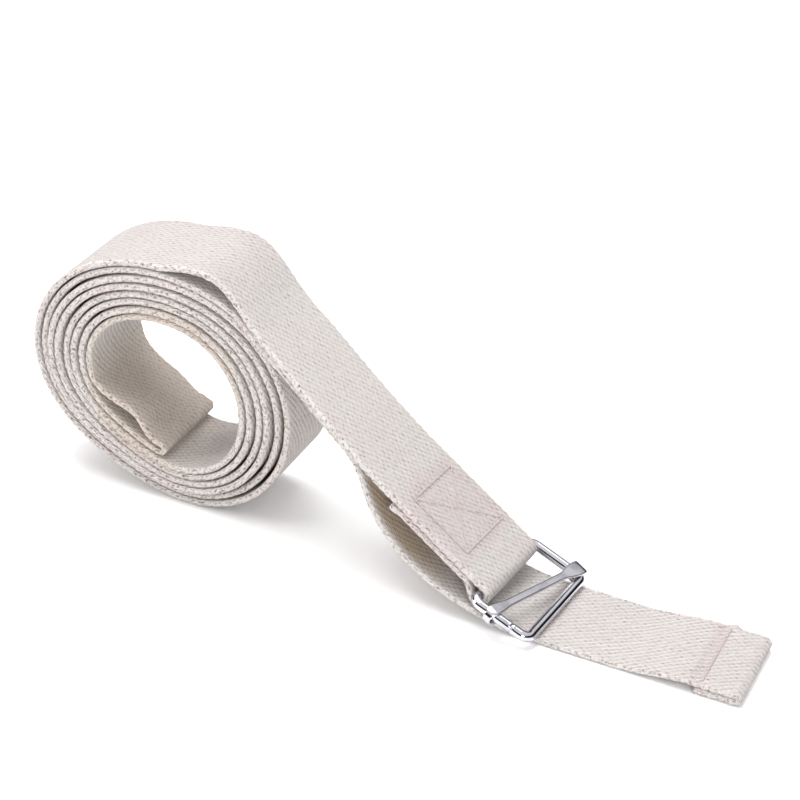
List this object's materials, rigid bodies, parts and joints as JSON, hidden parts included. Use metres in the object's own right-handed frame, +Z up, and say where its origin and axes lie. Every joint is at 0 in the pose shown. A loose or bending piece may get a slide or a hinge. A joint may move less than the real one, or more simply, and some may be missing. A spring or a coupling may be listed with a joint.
{
  "type": "stretching strap",
  "caption": "Cream cotton webbing stretching strap wound into a coil, with a sewn-in wire buckle that adjusts its loop and a hemmed free end.",
  "frame": {"origin": "centre of the strap's footprint, on the table", "axes": "+X along the strap from the coil to the hemmed end, +Y across the webbing away from the front, +Z up"},
  "size_m": [0.2718, 0.0616, 0.0921],
  "materials": {
    "webbing": "coarse natural cotton webbing, matt",
    "thread": "polyester sewing thread, matt",
    "frame_metal": "bright nickel plate on steel wire",
    "slider_metal": "bright nickel plate on pressed strip"
  },
  "bodies": {
    "strap": {"webbing_coil": "webbing", "webbing_upper_strand": "webbing", "webbing_loop": "webbing", "webbing_lower_strand": "webbing", "webbing_tail": "webbing", "loop_stitch_top": "thread", "loop_stitch_under": "thread", "hem_stitch": "thread"},
    "buckle": {"buckle_frame": "frame_metal"},
    "slider": {"slider_bar": "slider_metal"}
  },
  "joints": [
    {"name": "buckle_swing", "type": "hinge", "parent": "strap", "child": "buckle", "pos_m": [0.04473, -0.00406, 0.01142], "axis": [-0.0872, -0.9962, 0], "range_deg": [0, 90]},
    {"name": "slider_skew", "type": "hinge", "parent": "buckle", "child": "slider", "pos_m": [0.06452, 0.0163, 0.00514], "axis": [0.329, -0.0288, 0.9439], "range_deg": [0, 10.5]}
  ]
}
